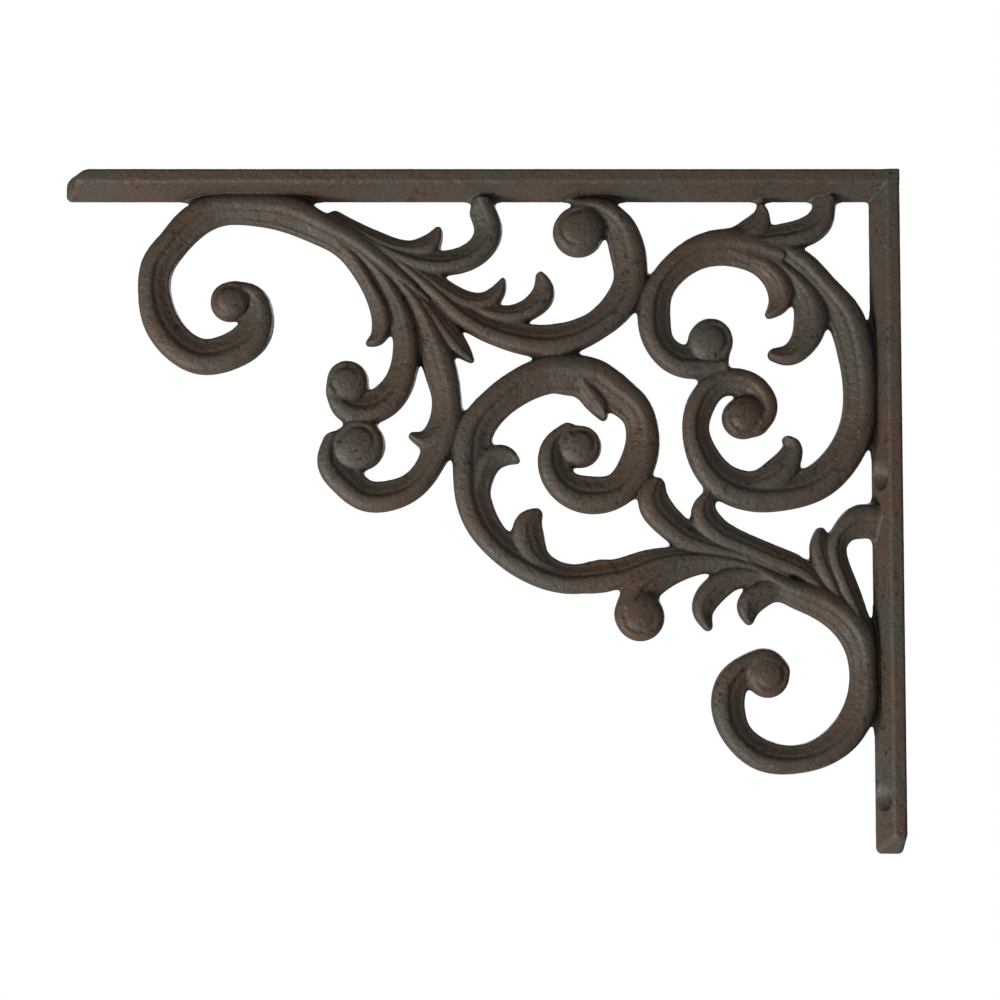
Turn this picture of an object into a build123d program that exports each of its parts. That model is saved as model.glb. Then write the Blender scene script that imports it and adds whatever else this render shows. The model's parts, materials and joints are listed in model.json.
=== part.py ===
from build123d import *
from math import radians, tan
import os

# An ornamental cast-iron shelf bracket. A shelf arm and a wall arm meet at a square corner, and
# scrolls and leaves fill the space between them. The back of the casting is flat, and the arms
# narrow from there towards the front, as a pattern must to leave its mould.
#
# X = 0 is the wall face and Z = 0 the face that the shelf rests on. The bracket reaches out along
# -X and down along -Z. Y = 0 is mid-width, the flat back is at +Y and the ornament faces -Y.
# All sizes are in millimetres.

# Overall size
shelf_arm_length = 275.0
wall_arm_length = 224.0

# Arms: thickness along their front edge and along their back edge
arm_width = 12.0
arm_front_thickness = 4.5
arm_back_thickness = 9.3

# Screw holes in the wall arm, a little in front of mid-width, countersunk from its sloping face
screw_hole_radius = 2.75
screw_hole_offset = 1.0
countersink_angle = 60.0
countersink_seat = 3.0
upper_hole_drop = 101.0
hole_spacing = 104.5

# Relief, as heights above the flat back
limb_height = 4.5
bead_height = 7.0
leaf_bead_height = 6.0
eye_height = 8.0

# The raised bead follows the outside of each bend, between these shares of half the limb's width
# from its middle line
bead_inner_edge = -0.1
bead_outer_edge = 0.8

# The pattern is drawn from the inner corner that the arms make at the back, for an opening of
# this size, and is stretched to the real opening, so it always meets both arms.
pattern_length = 265.7
pattern_drop = 214.7
stretch_x = (shelf_arm_length - arm_back_thickness) / pattern_length
stretch_z = (wall_arm_length - arm_back_thickness) / pattern_drop

half_width = arm_width / 2
arm_draft = arm_back_thickness - arm_front_thickness
shelf_end_top_radius = 0.62 * arm_front_thickness
shelf_end_lower_radius = 0.3 * arm_front_thickness
wall_end_radius = 0.4 * arm_front_thickness
countersink_depth = arm_back_thickness - countersink_seat
countersink_radius = screw_hole_radius + countersink_depth * tan(radians(countersink_angle / 2))

# Sketches on the back plane are seen from the front: X to the right, Z up
back_plane = Plane.XZ.offset(-half_width)
bead_plane = back_plane.offset(limb_height)

# Outside of a limb's bend, looking along its stations from the front
LEFT = 1
RIGHT = -1

outlines = []
os.makedirs("parts", exist_ok=True)


def save(piece, name):
    piece.part.label = name
    export_step(piece.part, f"parts/{name}.step")


# ---- Arms -------------------------------------------------------------------------------------

with BuildPart() as wall_arm:
    with BuildSketch(Plane.XY):
        with BuildLine():
            Polyline(
                (0, -half_width),
                (0, half_width),
                (-arm_back_thickness, half_width),
                (-arm_front_thickness, -half_width),
                close=True,
            )
        make_face()
    extrude(amount=-wall_arm_length)
    # the lower end slopes as much as the inner face
    lower_end = Plane(
        origin=(0, half_width, -wall_arm_length),
        x_dir=(1, 0, 0),
        z_dir=(0, -arm_draft, -arm_width),
    )
    split(bisect_by=lower_end, keep=Keep.BOTTOM)
    end_face = wall_arm.faces().sort_by(Axis.Z)[0]
    fillet(end_face.edges().filter_by(Axis.X, reverse=True), wall_end_radius)
    hole_plane = Plane(
        origin=(-arm_back_thickness, -screw_hole_offset, -upper_hole_drop),
        x_dir=(0, -1, 0),
        z_dir=(-1, 0, 0),
    )
    with Locations(hole_plane):
        with Locations((0, 0), (0, -hole_spacing)):
            CounterSinkHole(
                radius=screw_hole_radius,
                counter_sink_radius=countersink_radius,
                counter_sink_angle=countersink_angle,
            )
save(wall_arm, "wall_arm")

with BuildPart() as shelf_arm:
    with BuildSketch(Plane.YZ):
        with BuildLine():
            Polyline(
                (-half_width, 0),
                (half_width, 0),
                (half_width, -arm_back_thickness),
                (-half_width, -arm_front_thickness),
                close=True,
            )
        make_face()
    extrude(amount=-shelf_arm_length)
    free_end = Plane(
        origin=(-shelf_arm_length, half_width, 0),
        x_dir=(0, 0, 1),
        z_dir=(-arm_width, -arm_draft, 0),
    )
    split(bisect_by=free_end, keep=Keep.BOTTOM)
    end_edges = shelf_arm.faces().sort_by(Axis.X)[0].edges().filter_by(Axis.Z, reverse=True)
    fillet(end_edges.sort_by(Axis.Z)[-1], shelf_end_top_radius)
    fillet(end_edges.sort_by(Axis.Z)[0], shelf_end_lower_radius)
    # the arm butts on the wall arm's sloping inner face
    add(wall_arm.part, mode=Mode.SUBTRACT)
save(shelf_arm, "shelf_arm")


# ---- Ornament ---------------------------------------------------------------------------------


def place(point):
    """A point of the pattern, along the shelf arm and down the wall arm, on the back plane."""
    x = -arm_back_thickness - point.X * stretch_x
    z = -arm_back_thickness - point.Y * stretch_z
    return Vector(x, z)


def band(stations, inner, outer, outside):
    """A strip beside the line through the stations, between two shares of half its width.

    Each station is (along the shelf arm, down the wall arm, width). The strip is square at the
    first station, its root, and rounded at the last.
    """
    points = [Vector(along, drop) for along, drop, width in stations]
    widths = [width for along, drop, width in stations]
    middle = Spline(*points, mode=Mode.PRIVATE)
    inner_side = []
    outer_side = []
    for point, width in zip(points, widths):
        heading = middle.tangent_at(middle.param_at_point(point))
        sideways = Vector(-heading.Y, heading.X) * (outside * width / 2)
        inner_side.append(point + sideways * inner)
        outer_side.append(point + sideways * outer)
    tip_reach = heading * (outer_side[-1] - inner_side[-1]).length / 2
    tip = (inner_side[-1] + outer_side[-1]) / 2 + tip_reach
    inner_line = [place(point) for point in inner_side]
    outer_line = [place(point) for point in outer_side]
    with BuildSketch(mode=Mode.PRIVATE) as strip:
        with BuildLine():
            Spline(*inner_line)
            ThreePointArc(inner_line[-1], place(tip), outer_line[-1])
            Spline(*reversed(outer_line))
            Line(outer_line[0], inner_line[0])
        make_face()
    return strip.sketch


def round_boss(eye):
    along, drop, radius = eye
    with BuildSketch(mode=Mode.PRIVATE) as boss:
        with Locations(place(Vector(along, drop))):
            Ellipse(radius * stretch_x, radius * stretch_z)
    return boss.sketch


def limb(name, outside, stations, eye=None, top=bead_height):
    """One scroll or leaf: a flat limb, its raised bead, and the eye that the scroll ends in.

    Limbs are laid in order, so each one gives way to those already there.
    """
    outline = band(stations, -1, 1, outside)
    bead = band(stations, bead_inner_edge, bead_outer_edge, outside)
    if eye:
        boss = round_boss(eye)
        outline = outline + boss
    for earlier in outlines:
        outline = outline - earlier
    outlines.append(outline)
    with BuildPart() as piece:
        with BuildSketch(back_plane):
            add(outline)
        extrude(amount=limb_height)
        with BuildSketch(bead_plane):
            add(bead)
            add(outline, mode=Mode.INTERSECT)
        extrude(amount=top - limb_height)
        if eye:
            with BuildSketch(bead_plane):
                add(boss)
                add(outline, mode=Mode.INTERSECT)
            extrude(amount=eye_height - limb_height)
        add(shelf_arm.part, mode=Mode.SUBTRACT)
        add(wall_arm.part, mode=Mode.SUBTRACT)
    save(piece, name)


# Each station is (along the shelf arm, down the wall arm, width of the limb). Each eye is
# (along, down, radius).

limb(
    "end_scroll",
    RIGHT,
    [
        (146.5, 33, 2.5),
        (159, 23.5, 8),
        (170, 15, 10),
        (181, 9, 11),
        (192.5, 4, 12),
        (204.5, 2.5, 10.5),
        (215.5, 3, 10.5),
        (223.5, 7, 11),
        (230, 14, 10.5),
        (235, 21.5, 11),
        (236, 29.5, 11),
        (234, 39, 12),
        (228.5, 47, 12),
        (220.5, 51.5, 12),
        (211, 50, 12),
        (203.5, 44.5, 12),
        (201.5, 37.5, 10),
        (203.5, 32, 8.5),
        (208.5, 30, 6.5),
    ],
    eye=(211, 33.5, 6.5),
)
limb(
    "shelf_tendril",
    RIGHT,
    [
        (175.5, 6, 3.5),
        (166.5, 12, 4.5),
        (156.5, 17, 6),
        (147, 20, 7.5),
        (137.5, 20, 8.5),
        (129, 16, 9),
        (126, 9.5, 9.5),
        (129.5, 4, 12.5),
    ],
)
limb(
    "shelf_scroll",
    RIGHT,
    [
        (165, 13, 3.5),
        (155, 20, 4.5),
        (143, 29.5, 6.5),
        (132.5, 38.5, 8.5),
        (121, 44, 9.5),
        (102, 46, 11),
        (90, 41, 10),
        (82.5, 34, 11),
        (79, 26, 11),
        (80, 15, 12),
        (83, 7.5, 10),
        (89, 3, 8),
        (94.5, 2, 6),
    ],
    eye=(96, 10, 8.5),
)
limb(
    "inner_drop_scroll",
    LEFT,
    [
        (164, 19, 2.5),
        (157.5, 25.5, 4),
        (152, 32, 5.5),
        (147.5, 39.5, 6.5),
        (144, 48, 9),
        (141.5, 56, 11),
        (139.5, 65, 10),
        (140, 74.5, 11),
        (143.5, 84.5, 9.5),
        (149.5, 93.5, 9),
        (157.5, 97.5, 10),
        (166, 97.5, 10.5),
        (172.5, 92.5, 11),
        (177, 86.5, 10),
        (176.5, 80.5, 8),
    ],
    eye=(168, 81, 8.5),
)
limb(
    "drop_tip_leaf",
    LEFT,
    [
        (138.5, 70, 3.5),
        (142.5, 76, 6),
        (147, 79, 5.5),
        (150.5, 78, 3),
    ],
    top=leaf_bead_height,
)
limb(
    "outer_drop_scroll",
    LEFT,
    [
        (167.5, 19, 3.5),
        (161, 26, 4.5),
        (156.5, 34, 6.5),
        (153.5, 43, 8),
        (153, 51.5, 9),
        (155, 60, 10),
        (159.5, 66, 11),
        (166.5, 69, 11),
        (171.5, 68, 11),
        (175.5, 64, 7),
    ],
    eye=(172, 60, 7),
)
limb(
    "end_leaf",
    LEFT,
    [
        (175.5, 14.5, 3.5),
        (169.5, 21.5, 5),
        (165, 29, 5),
        (162, 35.5, 6),
        (161, 41, 6.5),
        (162.5, 45.5, 5),
        (165, 47, 2.5),
    ],
    top=leaf_bead_height,
)
limb(
    "spur_leaf",
    RIGHT,
    [
        (155, 24.5, 2.5),
        (147, 33, 4),
        (140.5, 41.5, 6),
        (135.5, 48, 6.5),
        (131.5, 52.5, 2.5),
    ],
    top=leaf_bead_height,
)
limb(
    "mid_leaf",
    RIGHT,
    [
        (153.5, 20, 3.5),
        (144.5, 26, 5.5),
        (135, 32, 6.5),
        (127, 33, 6),
        (123, 30.5, 5.5),
        (121, 26.5, 2.5),
    ],
    top=leaf_bead_height,
)
limb(
    "mid_hook_leaf",
    RIGHT,
    [
        (132, 34, 3.5),
        (120.5, 37.5, 6),
        (112, 35.5, 7.5),
        (107.5, 30, 7.5),
        (108.5, 25, 3.5),
    ],
    top=leaf_bead_height,
)
limb(
    "shelf_leaf",
    RIGHT,
    [
        (176.5, 5, 3.5),
        (167.5, 10, 4.5),
        (159, 14, 5.5),
        (151, 15.5, 5.5),
        (144.5, 13.5, 6.5),
        (142.5, 10, 3.5),
    ],
    top=leaf_bead_height,
)
limb(
    "centre_scroll",
    LEFT,
    [
        (99, 57.5, 12.5),
        (92.5, 58, 12.5),
        (84, 63.5, 12.5),
        (77, 70, 11),
        (75, 77, 11),
        (76.5, 86.5, 12),
        (84, 96, 11.5),
        (92, 97.5, 12.5),
        (100.5, 94.5, 11),
        (104.5, 87.5, 10),
        (104, 81, 8),
        (100, 76.5, 6),
    ],
    eye=(95.5, 81.5, 7),
)
limb(
    "centre_bow",
    RIGHT,
    [
        (97, 58, 12.5),
        (104, 57.5, 12.5),
        (114.5, 61, 12),
        (124, 68, 11.5),
        (130.5, 78, 12.5),
        (131, 87.5, 13),
        (131, 96, 12),
        (128.5, 105, 11.5),
        (123, 113, 10.5),
        (112.5, 120.5, 11),
        (99, 125, 10),
        (89, 124, 10),
    ],
)
limb(
    "centre_tip_leaf",
    LEFT,
    [
        (94.8, 61.5, 5),
        (92.8, 64.5, 6.4),
        (90.5, 67.5, 6),
        (88, 71.5, 3),
    ],
    top=leaf_bead_height,
)
limb(
    "bow_upper_sprout",
    LEFT,
    [
        (129, 96.5, 4),
        (127, 90.5, 6.5),
        (124, 85.5, 8),
        (120, 84.5, 6.5),
        (116.5, 86, 2.5),
    ],
    top=leaf_bead_height,
)
limb(
    "bow_lower_sprout",
    LEFT,
    [
        (104, 121.5, 2.5),
        (110, 117.5, 8),
        (112.5, 111.5, 10.5),
        (112.5, 107, 9),
        (110, 104, 4.5),
    ],
    top=leaf_bead_height,
)
limb(
    "lower_corner_scroll",
    LEFT,
    [
        (38.5, 13, 3.5),
        (31, 16, 6.5),
        (23, 21, 10),
        (15.5, 29, 10.5),
        (8.5, 38, 12),
        (5, 49, 12),
        (3.5, 63, 11),
        (5.5, 77.5, 11.5),
        (10.5, 86.5, 12),
        (18.5, 93.5, 12),
        (28.5, 96.5, 12),
        (38.5, 96.5, 13),
        (48.5, 93, 12),
        (55, 85, 10.5),
        (57.5, 76, 9),
        (56, 68, 9.5),
        (51, 61.5, 9),
        (43.5, 60, 9),
        (37.5, 63, 9),
        (35, 69, 9),
        (37, 74, 7),
    ],
    eye=(42, 72, 7),
)
limb(
    "upper_corner_scroll",
    RIGHT,
    [
        (33, 18, 9),
        (42.5, 15.5, 12),
        (54, 16, 11.5),
        (64, 22, 10),
        (70, 31, 10),
        (71, 39.5, 11),
        (69, 47.5, 10),
        (63.5, 52.5, 10.5),
        (57, 53.5, 11),
        (51, 53.5, 9),
    ],
    eye=(52.5, 46.5, 7.5),
)
limb(
    "corner_tendril",
    RIGHT,
    [
        (41, 13.5, 4),
        (31, 12, 8.5),
        (22.5, 10.5, 9.5),
        (16, 6, 9),
        (14.5, 2, 7.5),
    ],
)
limb(
    "corner_spur",
    RIGHT,
    [
        (45.5, 12, 4.5),
        (38.5, 9, 8.5),
        (35.5, 5, 6),
        (35.5, 2.5, 3.5),
    ],
    top=leaf_bead_height,
)
limb(
    "corner_hook_leaf",
    LEFT,
    [
        (35.5, 18, 3.5),
        (26, 25.5, 5.5),
        (21, 32.5, 8.5),
        (19.5, 39.5, 11),
        (22, 47, 9),
        (27, 51, 7),
        (31.5, 51, 4.5),
    ],
    top=leaf_bead_height,
)
limb(
    "corner_leaf",
    LEFT,
    [
        (44.5, 18, 4),
        (36, 21.5, 6.5),
        (30.5, 27, 8),
        (29.5, 33, 7.5),
        (33, 37.5, 3),
    ],
    top=leaf_bead_height,
)
limb(
    "lower_corner_sprout",
    RIGHT,
    [
        (39.5, 94, 4.5),
        (31.5, 90.5, 10),
        (27, 85.5, 8.5),
        (26, 81.5, 6),
        (27.5, 79.5, 3.5),
    ],
    top=leaf_bead_height,
)
limb(
    "wall_end_scroll",
    LEFT,
    [
        (42, 119.5, 2.5),
        (27, 129.5, 8.5),
        (19, 132.5, 10),
        (11, 137.5, 10.5),
        (5, 145.5, 10.5),
        (3.5, 155, 9),
        (4, 164.5, 10),
        (8, 174, 11),
        (17, 181.5, 10),
        (26.5, 184, 9.5),
        (36.5, 182.5, 10.5),
        (44.5, 176, 10),
        (47.5, 167.5, 11),
        (46, 159, 10.5),
        (40, 153.5, 9),
        (34.5, 152, 8),
        (31, 154.5, 6),
    ],
    eye=(34.5, 157, 7),
)
limb(
    "long_stem",
    RIGHT,
    [
        (91, 124.5, 9),
        (82, 123, 10),
        (73, 119.5, 8.5),
        (63, 117.5, 6),
        (51.5, 118, 4.5),
        (40, 120.5, 3.5),
        (29, 125.5, 2.5),
    ],
)
limb(
    "upper_stem_leaf",
    LEFT,
    [
        (28.5, 123.5, 2.5),
        (40, 118, 4.5),
        (51.5, 114.5, 7),
        (61.5, 110.5, 9.5),
        (68, 105, 10.5),
        (71.5, 99, 10),
        (70.5, 94.5, 6),
    ],
    top=leaf_bead_height,
)
limb(
    "lower_stem_leaf",
    LEFT,
    [
        (13.5, 132.5, 2.5),
        (23, 122, 7),
        (32, 118, 8),
        (41.5, 114, 8),
        (51, 109, 9),
        (55, 103, 8.5),
        (53.5, 98, 4.5),
    ],
    top=leaf_bead_height,
)
limb(
    "ball_leaf",
    RIGHT,
    [
        (29, 126, 2.5),
        (42, 121.5, 4),
        (53, 120, 6),
        (63, 121.5, 8.5),
        (71, 125, 10.5),
        (77, 131, 11),
        (79, 136, 10),
    ],
    eye=(76, 137.5, 8),
)
limb(
    "long_hanging_leaf",
    RIGHT,
    [
        (34, 124.5, 4),
        (39.5, 124.2, 5.5),
        (45, 125, 7),
        (52.5, 129.5, 9),
        (55.5, 135.5, 7),
        (54, 140.5, 3.5),
    ],
    top=leaf_bead_height,
)
limb(
    "short_hanging_leaf",
    RIGHT,
    [
        (19, 130, 2.5),
        (27, 128, 5),
        (35.5, 130, 8),
        (40.5, 134, 8),
        (40.5, 138.5, 3.5),
    ],
    top=leaf_bead_height,
)
limb(
    "wall_tendril",
    LEFT,
    [
        (2.5, 142.5, 4.5),
        (6.5, 131.5, 6.5),
        (10.5, 121.5, 7),
        (11.5, 114, 7),
        (7.5, 108, 9),
        (2.5, 106, 11.5),
        (1, 106, 11),
    ],
)
limb(
    "wall_leaf",
    LEFT,
    [
        (9.5, 136, 2.5),
        (12, 128, 6),
        (15.5, 120, 8),
        (17, 114, 7),
        (17, 110, 4),
    ],
    top=leaf_bead_height,
)
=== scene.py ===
import json
import math

import bpy
import numpy as np
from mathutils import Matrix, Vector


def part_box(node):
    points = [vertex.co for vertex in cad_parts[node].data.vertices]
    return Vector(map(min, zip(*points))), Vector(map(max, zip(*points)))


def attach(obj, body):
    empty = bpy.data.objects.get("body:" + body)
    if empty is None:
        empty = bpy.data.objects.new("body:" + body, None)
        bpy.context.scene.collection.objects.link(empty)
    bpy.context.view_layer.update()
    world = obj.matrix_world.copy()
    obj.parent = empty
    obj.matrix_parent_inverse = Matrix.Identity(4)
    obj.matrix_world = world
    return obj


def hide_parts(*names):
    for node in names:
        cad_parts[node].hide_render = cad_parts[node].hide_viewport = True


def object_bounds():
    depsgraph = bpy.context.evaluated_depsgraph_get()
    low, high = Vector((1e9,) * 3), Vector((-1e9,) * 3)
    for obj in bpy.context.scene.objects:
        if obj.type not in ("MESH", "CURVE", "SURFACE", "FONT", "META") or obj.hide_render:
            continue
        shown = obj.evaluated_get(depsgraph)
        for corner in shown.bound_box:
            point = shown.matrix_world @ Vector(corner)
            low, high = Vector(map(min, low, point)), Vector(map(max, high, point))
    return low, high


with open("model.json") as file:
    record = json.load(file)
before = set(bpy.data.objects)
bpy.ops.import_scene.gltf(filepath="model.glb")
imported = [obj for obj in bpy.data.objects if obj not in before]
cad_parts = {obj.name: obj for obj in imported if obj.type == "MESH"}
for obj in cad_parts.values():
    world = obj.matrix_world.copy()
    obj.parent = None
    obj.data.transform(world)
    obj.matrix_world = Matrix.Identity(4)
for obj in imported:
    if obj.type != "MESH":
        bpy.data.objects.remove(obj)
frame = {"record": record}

import openvdb
from mathutils import Vector

# The bracket is modelled as one casting and then parted into its pieces. Each limb of the ornament
# has a line of stations down its middle, and every point of the flat pattern finds its distance
# from the limb's edge and the height of the limb's relief there. The limbs' edges and heights run
# into each other smoothly, as they do in a casting. Together they make a solid field, which is
# meshed piece by piece.
#
# Lengths are in millimetres until a mesh is made. The pattern's axes are the distance along the
# shelf arm, the drop down the wall arm, and the height above the flat back. Along and drop are
# measured from the inner corner that the arms make at the back.

MM = 0.001

cad_low, cad_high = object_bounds()
cad_box = [list(cad_low), list(cad_high)]
shelf_low, shelf_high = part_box("shelf_arm")
screws = next(m for m in frame["record"]["mounts"] if m["name"] == "wall_screws")

ARM_WIDTH = (cad_high.y - cad_low.y) / MM
ARM_BACK = (shelf_high.z - shelf_low.z) / MM
SHELF_ARM_LENGTH = (cad_high.x - cad_low.x) / MM
WALL_ARM_LENGTH = (cad_high.z - cad_low.z) / MM
ARM_FRONT_SHARE = 0.484
ARM_FRONT = ARM_FRONT_SHARE * ARM_BACK
ARM_SLOPE = (ARM_BACK - ARM_FRONT) / ARM_WIDTH

# The pattern is laid out for this opening and stretched to the real one
PATTERN_LENGTH = 265.7
PATTERN_DROP = 214.7
STRETCH_ALONG = (SHELF_ARM_LENGTH - ARM_BACK) / PATTERN_LENGTH
STRETCH_DROP = (WALL_ARM_LENGTH - ARM_BACK) / PATTERN_DROP

# Relief, as heights above the flat back
EDGE_HEIGHT = 4.4
BEAD_CREST = 2.5
LEAF_CREST = 2.1
EYE_HEIGHT = 8.0
EYE_EDGE_HEIGHT = 4.6
BEVEL_HEIGHT = 5.9
BEVEL_EDGE_HEIGHT = 3.6
GROOVE_DEPTH = 0.22
GROOVE_WIDTH = 0.35
FLANK_SLOPE = 1.5

# The bead winds on round a scroll's eye, which stands out as a ball inside it. The crease between
# them turns by this much, and its radius shrinks between these shares of the eye's.
EYE_TURN = math.radians(230)
EYE_CREASE = (0.74, 0.52)
EYE_CREASE_DEPTH = 0.7
EYE_CREASE_WIDTH = 0.8

# The bead lies on the outside of a limb's bend, falls steeply to the crease that divides it from
# the bevel and gently to the outer edge. Places across a limb are shares of half its width.
BEAD_MIDDLE = 0.26
BEAD_INNER_SHARE = 0.40
BEAD_OUTER_SHARE = 0.74
CREASE = -0.14
ARCH_POWER = 0.6
BEAD_BLEND = 0.2

# A limb narrower than this has less relief
FULL_WIDTH = 10.0
SIZE_POWER = 0.7

# How softly edges and heights run together, and how round the edges of the casting are
EDGE_BLEND = 2.6
HEIGHT_BLEND = 0.5
EYE_BLEND = 1.6
ARM_BLEND = 2.2
ARM_BLEND_DEPTH = 0.3
EDGE_ROUNDING = 0.7
DRAFT = 0.09

# The grids: their spacing, how far they reach past the casting and past each limb, and the
# distance that stands for anywhere farther off
STEP = 0.34
AXIS_ROOM = 1.0
HEIGHT_ROOM = 0.8
MARGIN = 4.0
FAR = 9.0
MIDDLE_STEP = 0.4
BATCH = 4000

# Neighbours overlap at their seams and dip under each other. The grain of the surface needs room
# inside the CAD's box, more of it on the front than on the flat seats.
SEAM_OVERLAP = 0.4
SEAM_DIP = 0.25
FRONT_ROOM = 0.16
SEAT_ROOM = 0.04

# The grain's swells: how high each is, its wavelength and its seed. It is calmer on the seats.
SWELLS = ((0.06, 1.1, 1), (0.09, 3.7, 2))
SEAT_CALM = 0.25
SEAT_REACH = 0.3
LATTICE_SIZE = 64
SHARP_ANGLE = math.radians(50)

# Arms and the screw holes' countersinks
END_TOP_RADIUS = 4.4
END_LOWER_RADIUS = 1.9
ARM_ROUNDING = 1.0
ARM_BACK_ROUNDING = 0.3
CORNER_FILLET = 1.0
COUNTERSINK_SEAT = 3.0
COUNTERSINK_SLOPE = math.tan(math.radians(30))
HOLE_ROUNDING = 0.3
SLANT = math.hypot(1, ARM_SLOPE)

# Outside of a limb's bend, looking along its stations from the front
LEFT = 1
RIGHT = -1


def smooth_min(a, b, blend):
    """The lesser of two values, run smoothly into each other."""
    mix = np.clip(0.5 + 0.5 * (b - a) / blend, 0, 1)
    return b + (a - b) * mix - blend * mix * (1 - mix)


def smooth_max(a, b, blend):
    return -smooth_min(-a, -b, blend)


def round_max(a, b, radius):
    """Where two surfaces meet at an edge, with the edge rounded to a radius."""
    inside = np.minimum(np.maximum(a, b) + radius, 0)
    return inside + np.hypot(np.maximum(a + radius, 0), np.maximum(b + radius, 0)) - radius


def natural_spline(knots, values, places):
    """The natural cubic spline through the values at the knots."""
    gaps = np.diff(knots)
    count = len(knots)
    system = np.eye(count)
    right = np.zeros((count, values.shape[1]))
    for i in range(1, count - 1):
        system[i, i - 1 : i + 2] = gaps[i - 1], 2 * (gaps[i - 1] + gaps[i]), gaps[i]
        slopes = np.diff(values[i - 1 : i + 2], axis=0) / gaps[i - 1 : i + 1, None]
        right[i] = 6 * (slopes[1] - slopes[0])
    bend = np.linalg.solve(system, right)
    i = np.clip(np.searchsorted(knots, places) - 1, 0, count - 2)
    gap = gaps[i][:, None]
    after = (places - knots[i])[:, None]
    before = gap - after
    curved = (bend[i] * before**3 + bend[i + 1] * after**3) / (6 * gap)
    start = values[i] / gap - bend[i] * gap / 6
    end = values[i + 1] / gap - bend[i + 1] * gap / 6
    return curved + start * before + end * after


# ---- The pattern ------------------------------------------------------------------------------

axis_start = -ARM_BACK - AXIS_ROOM
along_axis = np.arange(axis_start, SHELF_ARM_LENGTH - ARM_BACK + AXIS_ROOM, STEP)
drop_axis = np.arange(axis_start, WALL_ARM_LENGTH - ARM_BACK + AXIS_ROOM, STEP)
height_axis = np.arange(-HEIGHT_ROOM, ARM_WIDTH + HEIGHT_ROOM, STEP)

limbs = {}


def bead_and_bevel(across, half_width, crest):
    """Height of a limb at a place across it, from -1 at the inside of its bend to 1 outside."""
    size = np.minimum(1, 2 * half_width / FULL_WIDTH) ** SIZE_POWER
    share = np.where(across < BEAD_MIDDLE, BEAD_INNER_SHARE, BEAD_OUTER_SHARE)
    arch = np.clip(1 - ((across - BEAD_MIDDLE) / share) ** 2, 0, 1)
    bead = EDGE_HEIGHT + crest * size * arch**ARCH_POWER
    climb = np.clip((across + 1) / (CREASE + 1), 0, 1)
    bevel_top = EDGE_HEIGHT + (BEVEL_HEIGHT - EDGE_HEIGHT) * size
    bevel = BEVEL_EDGE_HEIGHT + (bevel_top - BEVEL_EDGE_HEIGHT) * climb
    bevel = np.where(across < BEAD_MIDDLE, bevel, EDGE_HEIGHT)
    groove = np.exp(-(((across - CREASE) * half_width / GROOVE_WIDTH) ** 2))
    return smooth_max(bead, bevel, BEAD_BLEND) - GROOVE_DEPTH * size * groove


def eye_ball(offsets, limb_end, outside, radius):
    """Height of a scroll's eye, and each point's distance from its centre."""
    from_eye = np.hypot(*offsets.T)
    dome = np.sqrt(np.clip(1 - (from_eye / radius) ** 2, 0, 1))
    ball = EYE_EDGE_HEIGHT + (EYE_HEIGHT - EYE_EDGE_HEIGHT) * dome
    start = math.atan2(limb_end[1], limb_end[0])
    turned = (-outside * (np.arctan2(offsets[:, 1], offsets[:, 0]) - start)) % (2 * math.pi)
    share = turned / EYE_TURN
    crease_radius = radius * (EYE_CREASE[0] + (EYE_CREASE[1] - EYE_CREASE[0]) * share)
    fade = np.clip((1 - share) * 2, 0, 1)
    crease = np.exp(-(((from_eye - crease_radius) / EYE_CREASE_WIDTH) ** 2))
    return ball - EYE_CREASE_DEPTH * fade * crease, from_eye


def limb(name, outside, stations, eye=None, crest=BEAD_CREST):
    """Works out a limb's distance and height fields in its own window of the pattern.

    Each station is (along, drop, width), and the eye of a scroll is (along, drop, radius).
    """
    stations = np.array(stations, float)
    stretch = np.array([STRETCH_ALONG, STRETCH_DROP])
    middle = stations[:, :2] * stretch
    knots = np.r_[0, np.cumsum(np.linalg.norm(np.diff(middle, axis=0), axis=1))]
    places = np.linspace(0, knots[-1], int(knots[-1] / MIDDLE_STEP))
    line = natural_spline(knots, np.c_[middle, stations[:, 2]], places)
    centres = line[:, :2]
    half_widths = line[:, 2] / 2
    headings = np.gradient(centres, axis=0)
    headings /= np.linalg.norm(headings, axis=1)[:, None]
    outwards = np.c_[-headings[:, 1], headings[:, 0]] * outside

    reach = half_widths.max() + MARGIN
    low = centres.min(0) - reach
    high = centres.max(0) + reach
    if eye:
        eye_centre = np.array(eye[:2]) * stretch
        low = np.minimum(low, eye_centre - eye[2] - MARGIN)
        high = np.maximum(high, eye_centre + eye[2] + MARGIN)
    rows = slice(*np.searchsorted(along_axis, (low[0], high[0])))
    columns = slice(*np.searchsorted(drop_axis, (low[1], high[1])))
    along, drop = np.meshgrid(along_axis[rows], drop_axis[columns], indexing="ij")
    points = np.c_[along.ravel(), drop.ravel()]

    edge = np.empty(len(points))
    height = np.empty(len(points))
    for start in range(0, len(points), BATCH):
        batch = slice(start, start + BATCH)
        some = points[batch]
        apart = some[:, None, :] - centres[None, :, :]
        beyond = np.hypot(apart[..., 0], apart[..., 1]) - half_widths
        nearest = beyond.argmin(1)
        rank = np.arange(len(some))
        edge[batch] = beyond[rank, nearest]
        offset = (apart[rank, nearest] * outwards[nearest]).sum(1)
        width_here = half_widths[nearest]
        across = np.clip(offset / width_here, -1, 1)
        height[batch] = bead_and_bevel(across, width_here, crest)
    if eye:
        ball, from_eye = eye_ball(points - eye_centre, centres[-1] - eye_centre, outside, eye[2])
        on_limb = np.where(edge < 0, height, 0)
        height = np.where(from_eye < eye[2], smooth_max(ball, on_limb, EYE_BLEND), height)
        edge = smooth_min(edge, from_eye - eye[2], EDGE_BLEND)
    limbs[name] = {
        "window": (rows, columns),
        "edge": edge.reshape(along.shape),
        "height": height.reshape(along.shape),
    }


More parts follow.
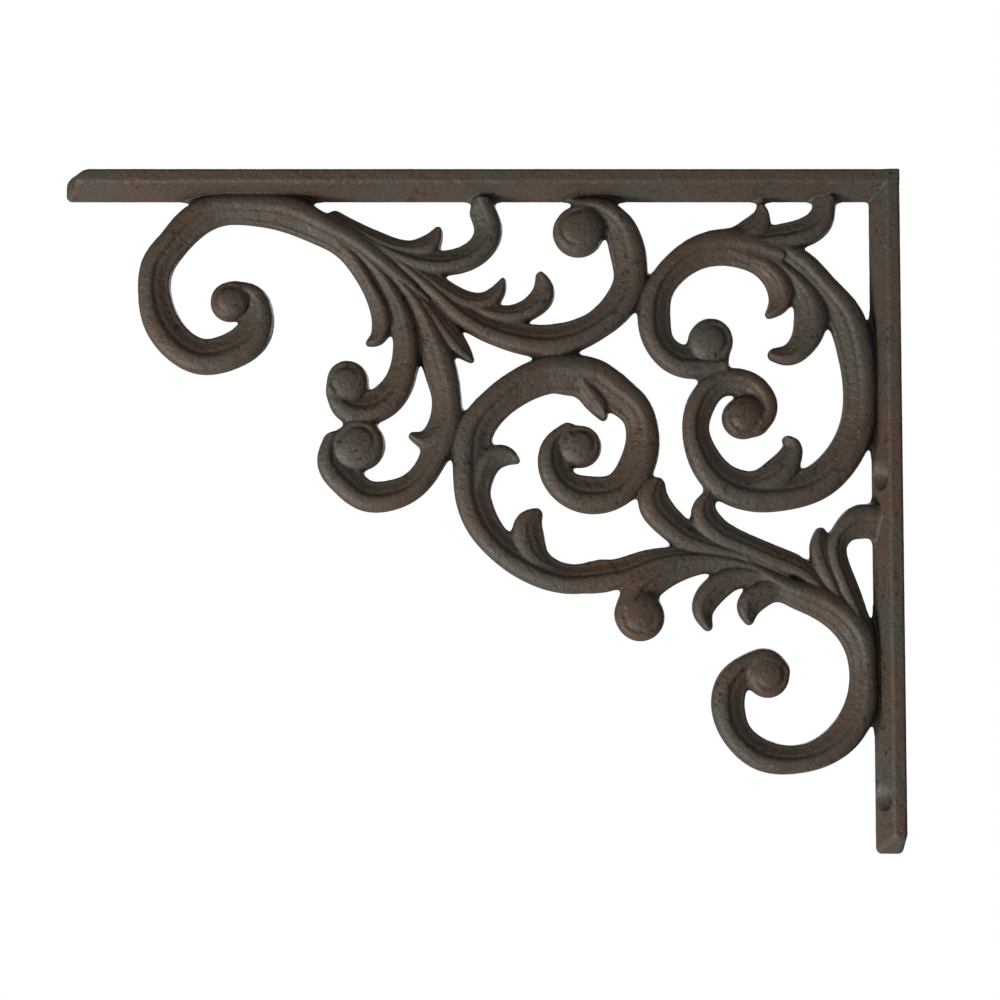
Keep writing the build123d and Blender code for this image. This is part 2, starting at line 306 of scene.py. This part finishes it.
limb(
    "end_scroll",
    RIGHT,
    [
        (146.5, 33, 2.5), (159, 23.5, 8), (170, 15, 10), (181, 9, 11), (192.5, 4, 12),
        (204.5, 2.5, 10.5), (215.5, 3, 10.5), (223.5, 7, 11), (230, 14, 10.5),
        (235, 21.5, 11), (236, 29.5, 11), (234, 39, 12), (228.5, 47, 12),
        (220.5, 51.5, 12), (211, 50, 12), (203.5, 44.5, 12), (201.5, 37.5, 10),
        (203.5, 32, 8.5), (208.5, 30, 6.5),
    ],
    eye=(211, 33.5, 6.5),
)
limb(
    "shelf_tendril",
    RIGHT,
    [
        (175.5, 6, 3.5), (166.5, 12, 4.5), (156.5, 17, 6), (147, 20, 7.5),
        (137.5, 20, 8.5), (129, 16, 9), (125.8, 9.5, 9.5), (127.5, 3.5, 9),
    ],
)
limb(
    "shelf_scroll",
    RIGHT,
    [
        (165, 13, 3.5), (155, 20, 4.5), (143, 29.5, 6.5), (132.5, 38.5, 8.5),
        (121, 44, 9.5), (102, 46, 11), (90, 41, 10), (82.5, 34, 11), (79, 26, 11),
        (80, 15, 12), (83, 7.5, 10), (89, 3, 8), (94.5, 2, 6),
    ],
    eye=(96, 10, 8.5),
)
limb(
    "inner_drop_scroll",
    LEFT,
    [
        (164, 19, 2.5), (157.5, 25.5, 4), (152, 32, 5.5), (147.5, 39.5, 6.5), (144, 48, 9),
        (141.5, 56, 11), (139.5, 65, 10), (140, 74.5, 11), (143.5, 84.5, 9.5),
        (149.5, 93.5, 9), (157.5, 97.5, 10), (166, 97.5, 10.5), (172.5, 92.5, 11),
        (177, 86.5, 10), (176.5, 80.5, 8),
    ],
    eye=(168, 81, 8.5),
)
limb(
    "drop_tip_leaf",
    LEFT,
    [
        (138.5, 70, 3.5), (142.5, 76, 6), (147, 79, 5.5), (150.5, 78, 3),
    ],
    crest=LEAF_CREST,
)
limb(
    "outer_drop_scroll",
    LEFT,
    [
        (167.5, 19, 3.5), (161, 26, 4.5), (156.5, 34, 6.5), (153.5, 43, 8), (153, 51.5, 9),
        (155, 60, 10), (159.5, 66, 11), (166.5, 69, 11), (171.5, 68, 11), (175.5, 64, 7),
    ],
    eye=(172, 60, 7),
)
limb(
    "end_leaf",
    LEFT,
    [
        (175.5, 14.5, 3.5), (169.5, 21.5, 5), (165, 29, 5), (162, 35.5, 6), (161, 41, 6.5),
        (162.5, 45.5, 5), (165, 47, 2.5),
    ],
    crest=LEAF_CREST,
)
limb(
    "spur_leaf",
    RIGHT,
    [
        (155, 24.5, 2.5), (147, 33, 4), (140.5, 41.5, 6), (135.5, 48, 6.5),
        (131.5, 52.5, 2.5),
    ],
    crest=LEAF_CREST,
)
limb(
    "mid_leaf",
    RIGHT,
    [
        (153.5, 20, 3.5), (144.5, 26, 5.5), (135, 32, 6.5), (127, 33, 6), (123, 30.5, 5.5),
        (121, 26.5, 2.5),
    ],
    crest=LEAF_CREST,
)
limb(
    "mid_hook_leaf",
    RIGHT,
    [
        (132, 34, 3.5), (120.5, 37.5, 6), (112, 35.5, 7.5), (107.5, 30, 7.5),
        (108.5, 25, 3.5),
    ],
    crest=LEAF_CREST,
)
limb(
    "shelf_leaf",
    RIGHT,
    [
        (176.5, 5, 3.5), (167.5, 10, 4.5), (159, 14, 5.5), (151, 15.5, 5.5),
        (144.5, 13.5, 6.5), (142.5, 10, 3.5),
    ],
    crest=LEAF_CREST,
)
limb(
    "centre_scroll",
    LEFT,
    [
        (99, 57.5, 12.5), (92.5, 58, 12.5), (84, 63.5, 12.5), (77, 70, 11), (75, 77, 11),
        (76.5, 86.5, 12), (84, 96, 11.5), (92, 97.5, 12.5), (100.5, 94.5, 11),
        (104.5, 87.5, 10), (104, 81, 8), (100, 76.5, 6),
    ],
    eye=(95.5, 81.5, 7),
)
limb(
    "centre_bow",
    RIGHT,
    [
        (97, 58, 12.5), (104, 57.5, 12.5), (114.5, 61, 12), (124, 68, 11.5),
        (130.5, 78, 12.5), (131, 87.5, 13), (131, 96, 12), (128.5, 105, 11.5),
        (123, 113, 10.5), (112.5, 120.5, 11), (99, 125, 10), (89, 124, 10),
    ],
)
limb(
    "centre_tip_leaf",
    LEFT,
    [
        (94.8, 61.5, 5), (92.8, 64.5, 6.4), (90.5, 67.5, 6), (88, 71.5, 3),
    ],
    crest=LEAF_CREST,
)
limb(
    "bow_upper_sprout",
    LEFT,
    [
        (129, 96.5, 4), (127, 90.5, 6.5), (124, 85.5, 8), (120, 84.5, 6.5),
        (116.5, 86, 2.5),
    ],
    crest=LEAF_CREST,
)
limb(
    "bow_lower_sprout",
    LEFT,
    [
        (104, 121.5, 2.5), (110, 117.5, 8), (112.5, 111.5, 10.5), (112.5, 107, 9),
        (110, 104, 4.5),
    ],
    crest=LEAF_CREST,
)
limb(
    "lower_corner_scroll",
    LEFT,
    [
        (38.5, 13, 3.5), (31, 16, 6.5), (23, 21, 10), (15.5, 29, 10.5), (8.5, 38, 12),
        (5, 49, 12), (3.5, 63, 11), (5.5, 77.5, 11.5), (10.5, 86.5, 12), (18.5, 93.5, 12),
        (28.5, 96.5, 12), (38.5, 96.5, 13), (48.5, 93, 12), (55, 85, 10.5), (57.5, 76, 9),
        (56, 68, 9.5), (51, 61.5, 9), (43.5, 60, 9), (37.5, 63, 9), (35, 69, 9),
        (37, 74, 7),
    ],
    eye=(42, 72, 7),
)
limb(
    "upper_corner_scroll",
    RIGHT,
    [
        (33, 18, 9), (42.5, 15.5, 12), (54, 16, 11.5), (64, 22, 10), (70, 31, 10),
        (71, 39.5, 11), (69, 47.5, 10), (63.5, 52.5, 10.5), (57, 53.5, 11), (51, 53.5, 9),
    ],
    eye=(52.5, 46.5, 7.5),
)
limb(
    "corner_tendril",
    RIGHT,
    [
        (41, 13.5, 4), (31, 12, 8.5), (22.5, 10.5, 9.5), (16, 6, 9), (14.5, 2, 7.5),
    ],
)
limb(
    "corner_spur",
    RIGHT,
    [
        (45.5, 12, 4.5), (38.5, 9, 8.5), (35.5, 5, 6), (35.5, 2.5, 3.5),
    ],
    crest=LEAF_CREST,
)
limb(
    "corner_hook_leaf",
    LEFT,
    [
        (35.5, 18, 3.5), (26, 25.5, 5.5), (21, 32.5, 8.5), (19.5, 39.5, 11), (22, 47, 9),
        (27, 51, 7), (31.5, 51, 4.5),
    ],
    crest=LEAF_CREST,
)
limb(
    "corner_leaf",
    LEFT,
    [
        (44.5, 18, 4), (36, 21.5, 6.5), (30.5, 27, 8), (29.5, 33, 7.5), (33, 37.5, 3),
    ],
    crest=LEAF_CREST,
)
limb(
    "lower_corner_sprout",
    RIGHT,
    [
        (39.5, 94, 4.5), (31.5, 90.5, 10), (27, 85.5, 8.5), (26, 81.5, 6),
        (27.5, 79.5, 3.5),
    ],
    crest=LEAF_CREST,
)
limb(
    "wall_end_scroll",
    LEFT,
    [
        (42, 119.5, 2.5), (27, 129.5, 8.5), (19, 132.5, 10), (11, 137.5, 10.5),
        (5, 145.5, 10.5), (3.5, 155, 9), (4, 164.5, 10), (8, 174, 11), (17, 181.5, 10),
        (26.5, 184, 9.5), (36.5, 182.5, 10.5), (44.5, 176, 10), (47.5, 167.5, 11),
        (46, 159, 10.5), (40, 153.5, 9), (34.5, 152, 8), (31, 154.5, 6),
    ],
    eye=(34.5, 157, 7),
)
limb(
    "long_stem",
    RIGHT,
    [
        (91, 124.5, 9), (82, 123, 10), (73, 119.5, 8.5), (63, 117.5, 6), (51.5, 118, 4.5),
        (40, 120.5, 3.5), (29, 125.5, 2.5),
    ],
)
limb(
    "upper_stem_leaf",
    LEFT,
    [
        (28.5, 123.5, 2.5), (40, 118, 4.5), (51.5, 114.5, 7), (61.5, 110.5, 9.5),
        (68, 105, 10.5), (71.5, 99, 10), (70.5, 94.5, 6),
    ],
    crest=LEAF_CREST,
)
limb(
    "lower_stem_leaf",
    LEFT,
    [
        (13.5, 132.5, 2.5), (23, 122, 7), (32, 118, 8), (41.5, 114, 8), (51, 109, 9),
        (55, 103, 8.5), (53.5, 98, 4.5),
    ],
    crest=LEAF_CREST,
)
limb(
    "ball_leaf",
    RIGHT,
    [
        (29, 126, 2.5), (42, 121.5, 4), (53, 120, 6), (63, 121.5, 8.5), (71, 125, 10.5),
        (77, 131, 11), (79, 136, 10),
    ],
    eye=(76, 137.5, 8),
)
limb(
    "long_hanging_leaf",
    RIGHT,
    [
        (34, 124.5, 4), (39.5, 124.2, 5.5), (45, 125, 7), (52.5, 129.5, 9),
        (55.5, 135.5, 7), (54, 140.5, 3.5),
    ],
    crest=LEAF_CREST,
)
limb(
    "short_hanging_leaf",
    RIGHT,
    [
        (19, 130, 2.5), (27, 128, 5), (35.5, 130, 8), (40.5, 134, 8), (40.5, 138.5, 3.5),
    ],
    crest=LEAF_CREST,
)
limb(
    "wall_tendril",
    LEFT,
    [
        (2.5, 142.5, 4.5), (6.5, 131.5, 6.5), (10.5, 121.5, 7), (11.5, 114, 7),
        (7.5, 108, 9), (2.5, 106, 11.5), (1, 106, 11),
    ],
)
limb(
    "wall_leaf",
    LEFT,
    [
        (9.5, 136, 2.5), (12, 128, 6), (15.5, 120, 8), (17, 114, 7), (17, 110, 4),
    ],
    crest=LEAF_CREST,
)


# ---- The casting ------------------------------------------------------------------------------

shape = (len(along_axis), len(drop_axis))
from_arms = np.minimum(along_axis[:, None], drop_axis)
edge = from_arms.copy()
nearest_edge = np.full(shape, FAR)
second_edge = np.full(shape, FAR)
height = np.zeros(shape)
for fields in limbs.values():
    window = fields["window"]
    own = fields["edge"]
    edge[window] = smooth_min(edge[window], own, EDGE_BLEND)
    farther = np.maximum(nearest_edge[window], own)
    second_edge[window] = np.minimum(second_edge[window], farther)
    nearest_edge[window] = np.minimum(nearest_edge[window], own)
    sunk = fields["height"] - FLANK_SLOPE * np.maximum(own, 0)
    height[window] = smooth_max(height[window], sunk, HEIGHT_BLEND)
# The relief climbs the sloping inner faces of the arms in a fillet
arm_face = -from_arms / ARM_SLOPE - ARM_BLEND_DEPTH
height = smooth_max(height, np.clip(arm_face, -ARM_BLEND, EYE_HEIGHT - 0.5), ARM_BLEND)
height_slope = np.sqrt(1 + sum(slope**2 for slope in np.gradient(height, STEP)))


def lattice_noise(points, wavelength, seed):
    """Smooth noise between -1 and 1, the same at the same place on every piece."""
    lattice = np.random.default_rng(seed).uniform(-1, 1, (LATTICE_SIZE,) * 3)
    scaled = points / wavelength
    base = np.floor(scaled).astype(int)
    part = scaled - base
    part = part * part * (3 - 2 * part)
    total = np.zeros(len(points))
    for corner in np.ndindex(2, 2, 2):
        weight = np.prod(np.where(corner, part, 1 - part), axis=1)
        total += weight * lattice[tuple(((base + corner) % LATTICE_SIZE).T)]
    return total


def part_at_seam(solid, beyond):
    """Ends a piece just beyond its seam, dipping a little under its neighbour."""
    return np.maximum(solid + SEAM_DIP * np.maximum(beyond, 0), beyond - SEAM_OVERLAP)


def mesh_field(name, field, start):
    """Meshes the surface where a field is zero, and makes it a piece in place of its CAD node."""
    grid = openvdb.FloatGrid(FAR)
    grid.copyFromArray(np.ascontiguousarray(field, dtype=np.float32))
    points, quads = grid.convertToQuads(0.0)
    pattern = points.astype(float) * STEP + start

    mesh = bpy.data.meshes.new(name + "_casting")
    mesh.from_pydata(pattern.tolist(), [], quads.tolist())
    normals = np.empty(len(points) * 3)
    mesh.vertices.foreach_get("normal", normals)
    normals = normals.reshape(-1, 3)
    grain = sum(swell * lattice_noise(pattern, length, seed) for swell, length, seed in SWELLS)
    above_seats = (pattern + (ARM_BACK, ARM_BACK, 0)).min(axis=1)
    grain *= np.clip(above_seats - SEAT_REACH, SEAT_CALM, 1)
    pattern += normals * grain[:, None]

    places = np.empty_like(pattern)
    places[:, 0] = -(ARM_BACK + pattern[:, 0]) * MM
    places[:, 1] = (ARM_WIDTH / 2 - pattern[:, 2]) * MM
    places[:, 2] = -(ARM_BACK + pattern[:, 1]) * MM
    places = np.clip(places, cad_box[0], cad_box[1])
    mesh.vertices.foreach_set("co", places.ravel())
    mesh.update()
    mesh.shade_smooth()
    mesh.set_sharp_from_angle(angle=SHARP_ANGLE)

    piece = bpy.data.objects.new(name + "_casting", mesh)
    bpy.context.collection.objects.link(piece)
    mesh.materials.append(iron)
    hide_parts(name)
    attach(piece, "root")


# ---- Iron -------------------------------------------------------------------------------------

WARM_BROWN = (0.051, 0.030, 0.018, 1)
COOL_GREY = (0.041, 0.035, 0.026, 1)
RUST = (0.064, 0.028, 0.014, 1)
# This dark colour is used for real dirt specks and also for painted shade in recesses
DIRT_AND_PAINTED_SHADE = (0.009, 0.006, 0.004, 1)
WORN = (0.080, 0.068, 0.053, 1)

iron = bpy.data.materials.new("antique cast iron")
iron.use_nodes = True
nodes = iron.node_tree.nodes
links = iron.node_tree.links
shader = nodes["Principled BSDF"]
shader.inputs["Specular IOR Level"].default_value = 0.3
geometry = nodes.new("ShaderNodeNewGeometry")


def noise(scale, detail, roughness=0.6):
    """Noise over the object, with its scale in repeats per metre."""
    node = nodes.new("ShaderNodeTexNoise")
    node.inputs["Scale"].default_value = scale
    node.inputs["Detail"].default_value = detail
    node.inputs["Roughness"].default_value = roughness
    links.new(geometry.outputs["Position"], node.inputs["Vector"])
    return node.outputs["Fac"]


def ramp(value, low, high, start=0.0, end=1.0):
    """value carried from the range low to high to the range start to end."""
    node = nodes.new("ShaderNodeMapRange")
    links.new(value, node.inputs["Value"])
    node.inputs["From Min"].default_value = low
    node.inputs["From Max"].default_value = high
    node.inputs["To Min"].default_value = start
    node.inputs["To Max"].default_value = end
    return node.outputs["Result"]


def mix_colour(amount, first, second):
    node = nodes.new("ShaderNodeMix")
    node.data_type = "RGBA"
    links.new(amount, node.inputs[0])
    for socket, colour in ((node.inputs[6], first), (node.inputs[7], second)):
        if isinstance(colour, tuple):
            socket.default_value = colour
        else:
            links.new(colour, socket)
    return node.outputs[2]


def bump(height, distance, strength, under=None):
    node = nodes.new("ShaderNodeBump")
    node.inputs["Distance"].default_value = distance
    node.inputs["Strength"].default_value = strength
    links.new(height, node.inputs["Height"])
    if under:
        links.new(under, node.inputs["Normal"])
    return node.outputs["Normal"]


def scaled(value, factor):
    """value times a number or another value."""
    node = nodes.new("ShaderNodeMath")
    node.operation = "MULTIPLY"
    links.new(value, node.inputs[0])
    if isinstance(factor, float):
        node.inputs[1].default_value = factor
    else:
        links.new(factor, node.inputs[1])
    return node.outputs[0]


# Ambient occlusion measures how open each point is, and the colour is darkened where it is
# sheltered: painted shade in recesses and between parts
shelter = nodes.new("ShaderNodeAmbientOcclusion")
shelter.inputs["Distance"].default_value = 0.007
shelter.samples = 8
open_face = shelter.outputs["AO"]
pointiness = geometry.outputs["Pointiness"]

colour = mix_colour(ramp(noise(28, 4), 0.38, 0.62), WARM_BROWN, COOL_GREY)
colour = mix_colour(ramp(noise(75, 3), 0.56, 0.70, 0, 0.45), colour, RUST)
proud = scaled(ramp(pointiness, 0.51, 0.60), ramp(noise(120, 3), 0.35, 0.65))
colour = mix_colour(proud, colour, WORN)
# Darker in the concave creases, where pointiness is low
colour = mix_colour(ramp(pointiness, 0.40, 0.49, 1, 0), colour, DIRT_AND_PAINTED_SHADE)
# Painted shade: the colour goes dark where the ambient occlusion finds the point sheltered
colour = mix_colour(ramp(open_face, 0.30, 0.75, 0.9, 0), colour, DIRT_AND_PAINTED_SHADE)
specks = scaled(ramp(noise(520, 3), 0.56, 0.66), ramp(noise(60, 2), 0.42, 0.60))
colour = mix_colour(specks, colour, DIRT_AND_PAINTED_SHADE)
links.new(colour, shader.inputs["Base Color"])
links.new(ramp(noise(160, 5), 0.3, 0.7, 0.7, 0.48), shader.inputs["Roughness"])
grain = bump(noise(1500, 3, 0.7), 0.0002, 0.55)
pits = bump(ramp(noise(620, 2), 0.34, 0.5), 0.0003, 0.4, grain)
links.new(pits, shader.inputs["Normal"])

# ---- Pieces of the ornament -------------------------------------------------------------------

levels = height_axis[height_axis < EYE_HEIGHT + HEIGHT_ROOM]
for name, fields in limbs.items():
    window = fields["window"]
    own = fields["edge"]
    others = np.where(own > nearest_edge[window], nearest_edge[window], second_edge[window])
    beyond = ((own - others) / 2)[..., None]
    top = (levels - height[window][..., None]) / height_slope[window][..., None]
    side = edge[window][..., None] + DRAFT * levels
    solid = round_max(top, side, EDGE_ROUNDING)
    back = SEAT_ROOM + SEAM_DIP * np.clip(-from_arms[window], 0, 1)
    solid = np.maximum(solid, back[..., None] - levels)
    solid = np.maximum(solid, own[..., None] - EDGE_BLEND)
    rows, columns = window
    start = (along_axis[rows][0], drop_axis[columns][0], levels[0])
    mesh_field(name, part_at_seam(solid, beyond), start)


# ---- Arms -------------------------------------------------------------------------------------


def arm_field(length, thickness, width_up, arm_length, end_radius):
    """An arm's solid: its square outer face, sloping inner face and end, and front and back."""
    outer = SEAT_ROOM - thickness
    inner = (thickness - (ARM_BACK - ARM_SLOPE * width_up)) / SLANT
    end = (length - (arm_length - ARM_SLOPE * width_up)) / SLANT
    solid = round_max(outer, end, end_radius)
    solid = round_max(solid, inner, END_LOWER_RADIUS)
    solid = round_max(solid, width_up - ARM_WIDTH + FRONT_ROOM, ARM_ROUNDING)
    return round_max(solid, SEAT_ROOM - width_up, ARM_BACK_ROUNDING)


def arm_grid(along_end, drop_end):
    """Distances from the wall face, from the shelf face and up from the back, over an arm."""
    along = along_axis[along_axis < along_end][:, None, None]
    drop = drop_axis[drop_axis < drop_end][None, :, None]
    return along + ARM_BACK, drop + ARM_BACK, height_axis[None, None, :]


def both_arms(out, down, up):
    """The two arms as one solid, and the distance from the slanting seam between them."""
    shelf = arm_field(out, down, up, SHELF_ARM_LENGTH, END_TOP_RADIUS)
    wall = arm_field(down, out, up, WALL_ARM_LENGTH, END_LOWER_RADIUS)
    solid = smooth_min(shelf, wall, CORNER_FILLET)
    solid = np.maximum(solid, SEAT_ROOM - np.minimum(out, down))
    seam = (out - (ARM_BACK - ARM_SLOPE * up)) / SLANT
    return solid, seam


start = (along_axis[0], drop_axis[0], height_axis[0])
out, down, up = arm_grid(SHELF_ARM_LENGTH, ARM_BACK)
solid, seam = both_arms(out, down, up)
mesh_field("shelf_arm", part_at_seam(solid, -seam), start)

out, down, up = arm_grid(ARM_BACK, WALL_ARM_LENGTH)
solid, seam = both_arms(out, down, up)
hole_radius = screws["dims"]["hole_r_mm"]
hole_height = ARM_WIDTH / 2 - screws["pos_m"][1] / MM
for side in (-1, 1):
    hole_drop = -screws["pos_m"][2] / MM + side * screws["dims"]["spacing_y_mm"] / 2
    from_axis = np.hypot(down - hole_drop, up - hole_height)
    wall_of_hole = hole_radius + COUNTERSINK_SLOPE * np.maximum(out - COUNTERSINK_SEAT, 0)
    solid = round_max(solid, wall_of_hole - from_axis, HOLE_ROUNDING)
mesh_field("wall_arm", part_at_seam(solid, seam), start)


# ---- Light and camera -------------------------------------------------------------------------


def area_light(name, place, target, size, power):
    lamp = bpy.data.lights.new(name, "AREA")
    lamp.shape = "DISK"
    lamp.size = size
    lamp.energy = power
    light = bpy.data.objects.new(name, lamp)
    light.location = place
    light.rotation_euler = (Vector(target) - light.location).to_track_quat("-Z", "Y").to_euler()
    bpy.context.collection.objects.link(light)


middle = (Vector(cad_box[0]) + Vector(cad_box[1])) / 2
area_light("key", (-1.0, -0.55, -0.75), middle, 0.5, 24)
area_light("fill", (0.1, -1.6, 0.3), middle, 1.4, 6)

area_light("back", (0.2, 1.4, 0.5), middle, 1.2, 14)

floor_mesh = bpy.data.meshes.new("floor")
floor_mesh.from_pydata(
    [(-12, -12, -1.0), (12, -12, -1.0), (12, 12, -1.0), (-12, 12, -1.0)], [], [(0, 1, 2, 3)]
)
floor = bpy.data.objects.new("floor", floor_mesh)
bpy.context.collection.objects.link(floor)
pale = bpy.data.materials.new("pale floor")
pale.use_nodes = True
pale.node_tree.nodes["Principled BSDF"].inputs["Base Color"].default_value = (0.9, 0.9, 0.9, 1)
pale.node_tree.nodes["Principled BSDF"].inputs["Roughness"].default_value = 0.8
floor_mesh.materials.append(pale)

scene = bpy.context.scene
world = bpy.data.worlds.new("studio")
world.use_nodes = True
world_nodes = world.node_tree.nodes
world_links = world.node_tree.links
ambient = world_nodes["Background"]
ambient.inputs["Color"].default_value = (1, 1, 1, 1)
ambient.inputs["Strength"].default_value = 0.24
backdrop = world_nodes.new("ShaderNodeBackground")
backdrop.inputs["Color"].default_value = (1, 1, 1, 1)
backdrop.inputs["Strength"].default_value = 1.0
seen = world_nodes.new("ShaderNodeLightPath")
choice = world_nodes.new("ShaderNodeMixShader")
world_links.new(seen.outputs["Is Camera Ray"], choice.inputs[0])
world_links.new(ambient.outputs["Background"], choice.inputs[1])
world_links.new(backdrop.outputs["Background"], choice.inputs[2])
world_links.new(choice.outputs["Shader"], world_nodes["World Output"].inputs["Surface"])
scene.world = world
scene.view_settings.view_transform = "Standard"

camera_data = bpy.data.cameras.new("camera")
camera_data.lens = 122.6
camera_data.sensor_width = 36
camera = bpy.data.objects.new("camera", camera_data)
camera.location = (-0.1312, -1.106, -0.2271)
camera.rotation_euler = (math.radians(96.1), 0, 0)
bpy.context.collection.objects.link(camera)
scene.camera = camera
